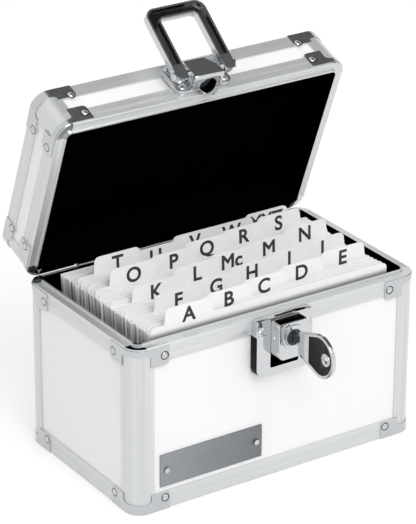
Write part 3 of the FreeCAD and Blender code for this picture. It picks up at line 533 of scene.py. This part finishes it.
def solid_centres(node):
    """Centre of each separate solid of a node."""
    copy_node(node, "scratch")
    edit_whole()
    bpy.ops.mesh.separate(type="LOOSE")
    leave_edit()
    centres = []
    for item in list(bpy.context.selected_objects):
        corners = [Vector(corner) for corner in item.bound_box]
        centres.append(sum(corners, Vector()) / len(corners))
        bpy.data.objects.remove(item)
    return centres


def same_all_over(place, normal):
    """Pick a piece's first finish for every face."""
    return 0


def paint(piece, materials, choose=same_all_over):
    """Give the piece its finishes, and each face the one that choose picks by place and normal."""
    piece.data.materials.clear()
    for material in materials:
        piece.data.materials.append(finishes[material])
    for face in piece.data.polygons:
        face.material_index = choose(face.center, face.normal)


def bevel_edges(piece, width):
    """Round the piece's sharp edges over, so that they catch the light."""
    select_only(piece)
    bpy.ops.object.modifier_add(type="BEVEL")
    bevel = piece.modifiers[-1]
    bevel.width = width
    bevel.segments = 2
    bevel.limit_method = "ANGLE"
    bevel.angle_limit = SHARP_EDGE
    bpy.ops.object.modifier_apply(modifier=bevel.name)
    bpy.ops.object.shade_smooth_by_angle(angle=SHARP_EDGE)


def stand_in(piece, node):
    """Let the piece take the node's place on its body."""
    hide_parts(node)
    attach(piece, body_of(node))


def standing(place):
    """Foot and lean of the sheet at a share of the pack's depth; those further back lean more."""
    sizes = bpy.context.scene.card_settings
    foot = Vector((0, sizes.front + sizes.foot_depth * place, sizes.floor))
    return Matrix.Translation(foot) @ Matrix.Rotation(-sizes.lean * place, 4, "X")


# Sideways and upward slips of the guides in millimetres, as they stand in a used box, row by row
guide_slips = (
    (-3.6, 0.3), (-3.0, 0.2), (-4.6, -0.2), (-4.4, -0.3), (-1.2, -0.4),
    (1.7, -0.7), (1.4, -0.9), (0.2, -0.6), (0.5, -0.6), (-1.4, -1.6),
    (-0.6, -2.2), (1.2, -0.3), (-0.6, -0.5), (-0.3, -0.9), (-0.3, -0.2),
    (-2.9, 1.2), (-2.0, 0.6), (-4.6, 1.1), (-4.6, 0.4), (-5.2, 0.8),
    (-1.6, 1.0), (-1.8, -3.4), (-0.4, -2.7), (-0.4, -4.6), (-1.0, -4.9),
)


def letter_place(index):
    """Place of a guide's letter and tab along the width."""
    sizes = bpy.context.scene.card_settings
    column = index % LETTERS_IN_A_ROW
    return sizes.letter_start + sizes.letter_pitch * column + guide_slips[index][0] * MM


def letter_lift(index):
    """How far a guide stands above its neighbours, or below."""
    return guide_slips[index][1] * MM


# Scales of the noise across and along the hairlines of brushed metal: 0.7 mm wide and 80 mm long
FINE = 1400
LONG = 12


class CARDBOX_OT_finishes(bpy.types.Operator):
    """Make the finishes that the pieces share"""
    bl_idname = "cardbox.finishes"
    bl_label = "Finishes"

    def execute(self, context):
        settings = context.scene.finish_settings
        for half, tilt in (("base", 0), ("lid", lid_opening())):
            for run, stretch in (("across", (LONG, FINE, FINE)), ("deep", (FINE, LONG, FINE)),
                                 ("level", (LONG, LONG, FINE)), ("upright", (FINE, FINE, LONG))):
                name = half + " " + run
                finishes[name] = make_material("brushed aluminium " + name, brushed_aluminium, settings,
                                               stretch, tilt)
        # The numbers are how rough each plated part is where it is smooth, and where it is rubbed
        for name, title, surface, *details in (
                ("nickel", "nickel plated steel", plated_steel, settings.nickel, 0.14, 0.26),
                ("chrome", "chrome plated steel", plated_steel, settings.chrome, 0.05, 0.12),
                ("rivet", "turned steel", plated_steel, settings.rivet, 0.16, 0.28),
                ("panel", "white melamine laminate", white_laminate, settings),
                ("lining", "black flocked lining", black_lining, settings),
                ("guide", "white card guides", card_stock, settings, True),
                ("card", "white card", card_stock, settings, False),
                ("card edges", "white card cut edges", card_edges, settings),
                ("ink", "printing ink", printed_ink, settings),
                ("pewter", "cast pewter", cast_pewter, settings),
                ("key field", "blackened key field", plated_steel, settings.key_field, 0.3, 0.45),
                # Painted shade for the insides of the lock and latch
                ("blackened", "blackened steel", plated_steel, settings.blackened, 0.4, 0.6),
                ("shaded chrome", "shaded chrome", plated_steel, settings.shaded_chrome, 0.08, 0.2),
                ("plug", "worn dark steel", plated_steel, settings.plug, 0.2, 0.35)):
            finishes[name] = make_material(title, surface, *details)
        return {"FINISHED"}


class CARDBOX_OT_edging(bpy.types.Operator):
    """Brush the aluminium edging along each strip"""
    bl_idname = "cardbox.edging"
    bl_label = "Metal edging"

    def execute(self, context):
        for half, far in (("base", "bottom"), ("lid", "top")):
            for side, run, inward in (("front", "across", (0, 1, 0)), ("back", "across", (0, -1, 0)),
                                      ("left", "deep", (1, 0, 0)), ("right", "deep", (-1, 0, 0))):
                self.face_rim(context, half, side, run, Vector(inward))
            finish(half + " level", half + "_" + far + "_rims")
            finish(half + " upright", half + "_corner_posts")
            finish("chrome", half + "_seam_joiners")
        return {"FINISHED"}

    def face_rim(self, context, half, side, run, inward):
        """Brush the outside and the lip; give the inner leg, and the lid's back lip, the black lining finish."""
        node = half + "_seam_rim_" + side
        covered = [inward]
        if half == "lid":
            covered = [lid_turn().to_3x3() @ inward]
        if node == "lid_seam_rim_back":
            covered.append(lid_turn().to_3x3() @ Vector((0, 0, -1)))
        piece = copy_node(node, half + "_edging_" + side)
        paint(piece, (half + " " + run, "lining"),
              lambda place, normal: int(any(normal.dot(way) > FACING for way in covered)))
        bevel_edges(piece, context.scene.detail_settings.edging)
        stand_in(piece, node)


# A rivet whose centre is this close to the front or back face sits in that face, and else in a side
FACE_BAND = 0.003
# Share of the radius taken by a ring of painted shade round a rivet, its thickness, and its lift off the face
SHADE_RING_WIDTH_SHARE = 0.3
SHADE_RING_THICKNESS = 0.00005
SHADE_RING_GAP = 0.00004


class CARDBOX_OT_fittings(bpy.types.Operator):
    """Plate the corner clips, caps, rivets and hinge"""
    bl_idname = "cardbox.fittings"
    bl_label = "Corner fittings and hinge"

    def execute(self, context):
        finish("nickel", *both("seam_clips", "corner_caps"), "hinge_leaf_base", "hinge_leaf_lid",
               "hinge_pin")
        finish("rivet", *both("corner_rivets"), "hinge_rivets_base", "hinge_rivets_lid",
               "lock_plate_rivets", "latch_plate_rivets", "name_plate_pins")
        first = self.cut_shade_ring(context)
        self.shade_rivets("base", Matrix.Identity(4), first)
        self.shade_rivets("lid", lid_turn(), first)
        bpy.data.objects.remove(first)
        return {"FINISHED"}

    def cut_shade_ring(self, context):
        """Thin flat ring of painted shade that goes round a rivet."""
        radius = context.scene.detail_settings.rivet_shade_ring
        deselect()
        bpy.ops.mesh.primitive_circle_add(vertices=32, radius=radius, fill_type="NGON")
        ring = context.object
        edit_whole()
        bpy.ops.mesh.inset(thickness=radius * SHADE_RING_WIDTH_SHARE)
        bpy.ops.mesh.delete(type="FACE")
        thicken(SHADE_RING_THICKNESS)
        # The painted shade round the rivets takes the plug's dark steel
        ring.data.materials.append(finishes["plug"])
        return ring

    def shade_rivets(self, half, opening, first):
        """Put a dark ring of painted shade round each rivet of a half's corner fittings."""
        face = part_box("base_seam_clips")[1]
        rings = []
        for centre in solid_centres(half + "_corner_rivets"):
            place = opening.inverted() @ centre
            if abs(place.y) > face.y - FACE_BAND:
                turn = Matrix.Rotation(math.radians(90), 4, "X")
                place.y = math.copysign(face.y + SHADE_RING_GAP, place.y)
            else:
                turn = Matrix.Rotation(math.radians(90), 4, "Y")
                place.x = math.copysign(face.x + SHADE_RING_GAP, place.x)
            ring = twin(first)
            ring.matrix_world = opening @ Matrix.Translation(place) @ turn
            rings.append(ring)
        apply_place(*rings)
        whole = join(rings, half + "_painted_rivet_shade")
        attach(whole, half)


class CARDBOX_OT_panels(bpy.types.Operator):
    """Face the walls with laminate and line the inside"""
    bl_idname = "cardbox.panels"
    bl_label = "Panels and lining"

    def execute(self, context):
        sides = ["panel_" + side for side in SIDES]
        finish("panel", *both(*sides), "base_panel_bottom", "lid_panel_top")
        finish("lining", *both("lining", "hinge_strip"))
        return {"FINISHED"}


# Measures in metres that tell the dark faces of the lock, key and latch from their bright ones; on the lock and
# latch the dark is painted shade
PLATE_SKIN = 0.0004
BOX_HALF_MOUTH = 0.00805
BOX_SKIN = 0.0005
BOX_LIP = 0.0003
RING_DEPTH = 0.0009
KEY_HALF_FIELD = 0.0008
KEY_FIELD_START = 0.0225
SOCKET_HALF_WIDTH = 0.0056
SOCKET_TOP = 0.1068
SOCKET_FRONT = -0.0662
# Way that the front of the raised handle faces, and how nearly the floor of its hollow faces the same
HANDLE_FRONT = Vector((0, -0.632, 0.775))
HOLLOW_FACING = 0.95
# The black sheet of painted shade behind the lock's window stays this far inside the outline of the lock plate
SHEET_MARGIN = 0.0009
SHEET_THICKNESS = 0.0003


class CARDBOX_OT_lock(bpy.types.Operator):
    """Polish the lock, its key, the latch and the handle"""
    bl_idname = "cardbox.lock"
    bl_label = "Lock, key, latch and handle"

    def execute(self, context):
        rounding = context.scene.detail_settings
        finish("chrome", "latch_striker", "handle_pins")
        self.coil()
        self.dress("lock_plate", "bright_lock_plate", "chrome", rounding.lock_plate, self.inside_plate)
        self.dress("lock_box", "bright_lock_box", "chrome", rounding.lock_box, self.inside_box)
        self.dress("lock_cylinder", "bright_lock_ring", "chrome", rounding.lock_ring, self.sleeve)
        self.dress("lock_plug", "dark_lock_plug", "dark_steel", rounding.lock_plug, same_all_over, "plug")
        self.dress("key", "bright_key", "steel", rounding.key, self.key_field, "chrome", "key field")
        self.dress("latch_plate", "bright_latch_plate", "chrome", rounding.latch_plate, same_all_over)
        self.dress("latch_block", "bright_latch_block", "chrome", rounding.latch_block, self.latch_socket)
        self.dress("handle", "bright_handle", "chrome", rounding.handle, self.handle_hollow,
                   "chrome", "shaded chrome")
        self.shade_lock_window(context)
        return {"FINISHED"}

    def dress(self, node, name, slot_name, width, choose, main="chrome", other="blackened"):
        """Let a finer copy stand in for a node; choose tells which of its faces get the other finish, painted
        shade in blackened steel unless another is given.
        """
        piece = copy_node(node, name)
        self.low, self.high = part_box(node)
        self.foot = rim_foot()
        if node == "lock_plate":
            edit_whole()
            bpy.ops.mesh.bisect(plane_co=(0, 0, self.foot), plane_no=(0, 0, 1))
            leave_edit()
        paint(piece, (main, other), choose)
        bevel_edges(piece, width)
        stand_in(piece, node)

    def coil(self):
        """Spring in dark steel all over, as painted shade inside the lock's window."""
        piece = copy_node("lock_spring", "dark_coil_spring")
        paint(piece, ("blackened",))
        bpy.ops.object.shade_smooth_by_angle(angle=math.radians(60))
        stand_in(piece, "lock_spring")
        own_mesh(piece)

    def inside_plate(self, place, normal):
        """Painted shade on the inside of the lock plate's tray, and on its left side wall below the rim."""
        side = abs(normal.y) < SIDE_ON and place.z < self.foot and place.x < 0
        return int(side or (normal.y > TURNED and place.y > self.low.y + PLATE_SKIN))

    def inside_box(self, place, normal):
        """Painted shade in the mouth of the lock box."""
        lip = normal.z > FACING and place.z > self.high.z - BOX_LIP
        return int(abs(place.x) < BOX_HALF_MOUTH and place.y > self.low.y + BOX_SKIN and not lip)

    def sleeve(self, place, normal):
        """Painted shade on the sleeve behind the bright ring."""
        return int(place.y > self.low.y + RING_DEPTH)

    def key_field(self, place, normal):
        """Dark sunk fields on both sides of the key's head."""
        flat = abs(normal.x) > FACING and abs(place.x) < KEY_HALF_FIELD
        return int(flat and place.y < self.high.y - KEY_FIELD_START)

    def latch_socket(self, place, normal):
        """Painted shade in the rounded socket in the latch block's underside."""
        shut = lid_turn().inverted() @ place
        level = lid_turn().inverted().to_3x3() @ normal
        wall = abs(shut.x) < SOCKET_HALF_WIDTH and abs(level.z) < SIDE_ON
        return int(wall and shut.z < SOCKET_TOP and shut.y > SOCKET_FRONT)

    def handle_hollow(self, place, normal):
        """Painted shade on the floor of the handle's hollow."""
        pivot = Vector(joint("handle_pivot")["pos_m"])
        return int(normal.dot(HANDLE_FRONT) > HOLLOW_FACING and (place - pivot).dot(HANDLE_FRONT) < 0)

    def shade_lock_window(self, context):
        """Put a black sheet of painted shade with rounded lower corners behind the lock's window, against the
        panel.
        """
        low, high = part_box("lock_plate")
        top = rim_foot() - SHEET_MARGIN
        bottom = low.z + SHEET_MARGIN
        middle = (bottom + top) / 2
        deselect()
        bpy.ops.mesh.primitive_cube_add(size=1, location=(0, high.y - SHEET_THICKNESS, middle))
        sheet = context.object
        sheet.name = "lock_window_shade_sheet"
        sheet.scale = (high.x - low.x - 2 * SHEET_MARGIN, SHEET_THICKNESS, top - bottom)
        apply_place(sheet)

        def runs_through_lower_corner(edge):
            start, end = (sheet.data.vertices[index].co for index in edge.vertices)
            return start.z < middle and start.x == end.x and start.z == end.z

        select_where(sheet, "EDGE", runs_through_lower_corner)
        bpy.ops.mesh.bevel(offset=context.scene.detail_settings.sheet_corner, segments=6)
        leave_edit()
        sheet.data.materials.append(finishes["lining"])
        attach(sheet, "base")


class CARDBOX_OT_name_plate(bpy.types.Operator):
    """Cast the bare name plate and let it into the front panel"""
    bl_idname = "cardbox.name_plate"
    bl_label = "Name plate"

    def execute(self, context):
        sizes = context.scene.detail_settings
        piece = copy_node("name_plate", "cast_name_plate")
        paint(piece, ("pewter",))
        edit_whole()
        bpy.ops.transform.translate(value=(0, sizes.plate_sink, 0))
        leave_edit()
        bevel_edges(piece, sizes.name_plate)
        stand_in(piece, "name_plate")
        return {"FINISHED"}


# Air between a guide and the cards behind it, and the share of its room that a card fills
GUIDE_AIR = 0.00005
CARD_FILL = 0.95
# How far cards stand low, or to either side, and how much further left the stray ones are
CARD_DROP = (0.0001, 0.0006)
CARD_SHIFT = 0.0005
STRAY_SHIFT = (0.0004, 0.0009)


class CARDBOX_OT_cards(bpy.types.Operator):
    """Fill the space between the guides with loose cards"""
    bl_idname = "cardbox.cards"
    bl_label = "Cards"

    def execute(self, context):
        sizes = context.scene.card_settings
        draw = random.Random(4)
        guides = len(LETTERS)
        taken = sizes.guide_thickness + GUIDE_AIR
        room = (sizes.foot_depth / guides - taken) / sizes.foot_depth
        first = self.cut_card(context, sizes.foot_depth * room / sizes.sheets * CARD_FILL)
        cards = []
        for guide in range(guides):
            for sheet in range(sizes.sheets):
                place = guide / guides + taken / sizes.foot_depth + room * (sheet + 0.5) / sizes.sheets
                drop = draw.uniform(*CARD_DROP)
                side = draw.uniform(-CARD_SHIFT, CARD_SHIFT)
                if draw.random() < sizes.stray:
                    side -= draw.uniform(*STRAY_SHIFT)
                centre = Vector((side, 0, sizes.height / 2 - drop))
                card = twin(first)
                card.matrix_world = standing(place) @ Matrix.Translation(centre)
                cards.append(card)
        bpy.data.objects.remove(first)
        apply_place(*cards)
        whole = join(cards, "loose_cards")
        paint(whole, ("card", "card edges"), lambda place, normal: int(abs(normal.x) > FACING))
        stand_in(whole, "index_cards")
        return {"FINISHED"}

    def cut_card(self, context, thickness):
        """One upright card with worn edges."""
        sizes = context.scene.card_settings
        deselect()
        bpy.ops.mesh.primitive_cube_add(size=1, location=(0, 0, 0))
        card = context.object
        card.scale = (sizes.width, thickness, sizes.height)
        apply_place(card)
        edit_whole()
        bpy.ops.mesh.bevel(offset=sizes.worn_edge, segments=1)
        leave_edit()
        return card


# Points of a guide closer than this to a line lie on it
ON_LINE = 0.00001


class CARDBOX_OT_guides(bpy.types.Operator):
    """Cut the guides, each with a rounded tab"""
    bl_idname = "cardbox.guides"
    bl_label = "Guides"

    def execute(self, context):
        sheets = [self.cut_guide(context, index) for index in range(len(LETTERS))]
        apply_place(*sheets)
        whole = join(sheets, "lettered_guides")
        paint(whole, ("guide",))
        stand_in(whole, "guide_cards")
        return {"FINISHED"}

    def cut_guide(self, context, index):
        """Cut a sheet flat, draw its tab up, round its corners, give it its thickness and stand it up."""
        sizes = context.scene.card_settings
        shoulder = sizes.guide_height + letter_lift(index)
        top = shoulder + sizes.tab_rise
        across = letter_place(index)
        half = sizes.tab_half
        edge = sizes.width / 2
        deselect()
        bpy.ops.mesh.primitive_plane_add(size=1, location=(0, shoulder / 2, 0))
        sheet = context.object
        sheet.scale = (sizes.width, shoulder, 1)
        apply_place(sheet)
        bpy.ops.object.mode_set(mode="EDIT")
        for side in (-half, half):
            bpy.ops.mesh.select_all(action="SELECT")
            bpy.ops.mesh.bisect(plane_co=(across + side, 0, 0), plane_no=(1, 0, 0))
        select_where(sheet, "VERT", lambda point: point.co.y > shoulder - ON_LINE
                     and abs(point.co.x - across) < half + ON_LINE)
        bpy.ops.mesh.extrude_region_move(TRANSFORM_OT_translate={"value": (0, sizes.tab_rise, 0)})
        bpy.ops.transform.resize(value=(sizes.tab_taper, 1, 1), center_override=(across, top, 0))
        select_where(sheet, "VERT", lambda point: point.co.y > top - ON_LINE)
        bpy.ops.mesh.bevel(offset=sizes.tab_round, segments=6, affect="VERTICES")
        select_where(sheet, "VERT", lambda point: abs(point.co.y - shoulder) < ON_LINE
                     and abs(point.co.x) > edge - ON_LINE)
        bpy.ops.mesh.bevel(offset=sizes.tab_round, segments=3, affect="VERTICES")
        thicken(-sizes.guide_thickness)
        sheet.matrix_world = standing(index / len(LETTERS)) @ UPRIGHT
        return sheet


# Height of a capital in Blender's own font, as a share of the text's size
CAPITAL_SHARE = 0.72
# The rounded strokes are pressed to this share of their thickness
INK_PRESS = 0.3


class CARDBOX_OT_letters(bpy.types.Operator):
    """Print the alphabet on the guides' tabs"""
    bl_idname = "cardbox.letters"
    bl_label = "Letters"

    def execute(self, context):
        letters = [self.print_letter(context, index) for index in range(len(LETTERS))]
        whole = join(letters, "guide_letters")
        paint(whole, ("ink",))
        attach(whole, "base")
        return {"FINISHED"}

    def print_letter(self, context, index):
        """Print one guide's letter on its tab."""
        sizes = context.scene.card_settings
        deselect()
        bpy.ops.object.text_add(location=(0, 0, 0))
        text = context.object.data
        text.body = LETTERS[index]
        text.align_x = "CENTER"
        text.align_y = "CENTER"
        text.size = sizes.letter_height / CAPITAL_SHARE
        text.extrude = sizes.ink_thickness
        text.bevel_depth = sizes.letter_weight
        text.bevel_resolution = 1
        bpy.ops.object.convert(target="MESH")
        letter = context.object
        height = sizes.letter_centre + letter_lift(index)
        centre = Vector((letter_place(index), -sizes.ink_thickness, height))
        letter.matrix_world = (standing(index / len(LETTERS)) @ Matrix.Translation(centre) @ UPRIGHT
                               @ Matrix.Scale(INK_PRESS, 4, (0, 0, 1)))
        apply_place(letter)
        return letter


FLOOR_SIZE = 30
FLOOR_GAP = 0.0002


class CARDBOX_OT_stage(bpy.types.Operator):
    """Set up the floor, the light and the camera"""
    bl_idname = "cardbox.stage"
    bl_label = "Stage"

    def execute(self, context):
        self.add_floor(context)
        self.light_world(context)
        self.add_softbox(context)
        self.add_flag(context)
        self.add_camera(context)
        return {"FINISHED"}

    def seen(self, tree):
        """1 for what the camera sees straight, in a mirror or through glass, and 0 for light on things."""
        path = add_node(tree, "LightPath")
        mirrored = add_node(tree, "Math", {0: path.outputs["Is Camera Ray"],
                                           1: path.outputs["Is Glossy Ray"]}, operation="ADD")
        seen = add_node(tree, "Math", {0: mirrored.outputs[0], 1: path.outputs["Is Transmission Ray"]},
                        operation="ADD", use_clamp=True)
        return seen.outputs[0]

    def facing(self, place, target):
        """Turn that makes a lamp or card at one point face another."""
        return (Vector(target) - Vector(place)).to_track_quat("-Z", "Y").to_euler()

    def add_floor(self, context):
        """Lay a pale matt floor that keeps the shadow."""
        settings = context.scene.stage_settings
        deselect()
        bpy.ops.mesh.primitive_plane_add(size=FLOOR_SIZE, location=(0, 0, -FLOOR_GAP))
        floor = context.object
        floor.name = "floor"
        floor.data.materials.append(make_material("white floor", self.pale_floor, settings))

    def pale_floor(self, tree, settings):
        """Matt white that the camera sees a little whiter than the light makes it."""
        lift = add_node(tree, "Math", {0: self.seen(tree), 1: settings.floor_glow}, operation="MULTIPLY")
        matt = add_node(tree, "BsdfDiffuse", {"Color": settings.floor[:]})
        glow = add_node(tree, "Emission", {"Strength": lift.outputs[0]})
        return add_node(tree, "AddShader", {0: matt.outputs[0], 1: glow.outputs[0]})

    def light_world(self, context):
        """Light from all round, with a white background."""
        settings = context.scene.stage_settings
        world = bpy.data.worlds.new("studio")
        world.use_nodes = True
        tree = world.node_tree
        tree.nodes.clear()
        level = add_node(tree, "MapRange", {"Value": self.seen(tree), "To Min": settings.ambient})
        sky = add_node(tree, "Background", {"Color": (1, 1, 1, 1), "Strength": level.outputs[0]})
        add_node(tree, "OutputWorld", {"Surface": sky.outputs[0]})
        context.scene.world = world

    def add_softbox(self, context):
        """Hang a large square lamp above the front."""
        settings = context.scene.stage_settings
        bpy.ops.object.light_add(type="AREA", location=settings.softbox_place)
        lamp = context.object
        lamp.name = "softbox"
        lamp.data.shape = "SQUARE"
        lamp.data.size = settings.softbox_size
        lamp.data.energy = settings.key_light
        lamp.rotation_euler = self.facing(settings.softbox_place, settings.softbox_target)

    def add_flag(self, context):
        """Hang a grey card where polished metal mirrors it, unseen by the camera and without a shadow."""
        settings = context.scene.stage_settings
        deselect()
        bpy.ops.mesh.primitive_plane_add(size=1, location=settings.flag_place)
        flag = context.object
        flag.name = "grey_flag"
        flag.scale = (settings.flag_width, settings.flag_depth, 1)
        flag.rotation_euler = self.facing(settings.flag_place, settings.flag_target)
        flag.data.materials.append(make_material("grey studio flag", self.even_grey, settings))
        flag.visible_camera = False
        flag.visible_diffuse = False
        flag.visible_shadow = False
        flag.visible_transmission = False

    def even_grey(self, tree, settings):
        """Grey that no light changes."""
        return add_node(tree, "Emission", {"Color": settings.flag[:]})

    def add_camera(self, context):
        """Put the camera where the photo was taken from."""
        settings = context.scene.stage_settings
        yaw = settings.yaw
        pitch = settings.pitch
        forward = Vector((math.sin(yaw) * math.cos(pitch), math.cos(yaw) * math.cos(pitch),
                          -math.sin(pitch)))
        level_right = Vector((math.cos(yaw), -math.sin(yaw), 0))
        level_up = level_right.cross(forward)
        right = math.cos(settings.roll) * level_right + math.sin(settings.roll) * level_up
        up = -math.sin(settings.roll) * level_right + math.cos(settings.roll) * level_up
        turn = Matrix((right, up, -forward)).transposed().to_euler()
        bpy.ops.object.camera_add(location=settings.camera_place, rotation=turn)
        camera = context.object
        camera.name = "camera"
        camera.data.sensor_fit = "VERTICAL"
        camera.data.sensor_height = 36
        camera.data.lens = settings.lens
        camera.data.dof.use_dof = False
        camera.data.clip_end = 100
        context.scene.camera = camera
        context.scene.view_settings.view_transform = "Standard"


class CARDBOX_PT_panel(bpy.types.Panel):
    """List of the pieces"""
    bl_idname = "CARDBOX_PT_panel"
    bl_label = "Card index box"
    bl_space_type = "VIEW_3D"
    bl_region_type = "UI"
    bl_category = "Card box"

    def draw(self, context):
        column = self.layout.column()
        for operator in operators:
            column.operator(operator.bl_idname)


settings_groups = {
    "finish_settings": FinishSettings,
    "detail_settings": DetailSettings,
    "card_settings": CardSettings,
    "stage_settings": StageSettings,
}
operators = (
    CARDBOX_OT_stage,
    CARDBOX_OT_finishes,
    CARDBOX_OT_edging,
    CARDBOX_OT_fittings,
    CARDBOX_OT_panels,
    CARDBOX_OT_lock,
    CARDBOX_OT_name_plate,
    CARDBOX_OT_cards,
    CARDBOX_OT_guides,
    CARDBOX_OT_letters,
)


def register():
    for name, group in settings_groups.items():
        bpy.utils.register_class(group)
        setattr(bpy.types.Scene, name, bpy.props.PointerProperty(type=group))
    for item in (*operators, CARDBOX_PT_panel):
        bpy.utils.register_class(item)


def unregister():
    for item in (CARDBOX_PT_panel, *reversed(operators)):
        bpy.utils.unregister_class(item)
    for name, group in reversed(settings_groups.items()):
        delattr(bpy.types.Scene, name)
        bpy.utils.unregister_class(group)


def main():
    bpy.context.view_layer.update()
    register()
    for operator in operators:
        group, name = operator.bl_idname.split(".")
        getattr(getattr(bpy.ops, group), name)()
    bpy.context.view_layer.update()


if __name__ == "__main__":
    main()
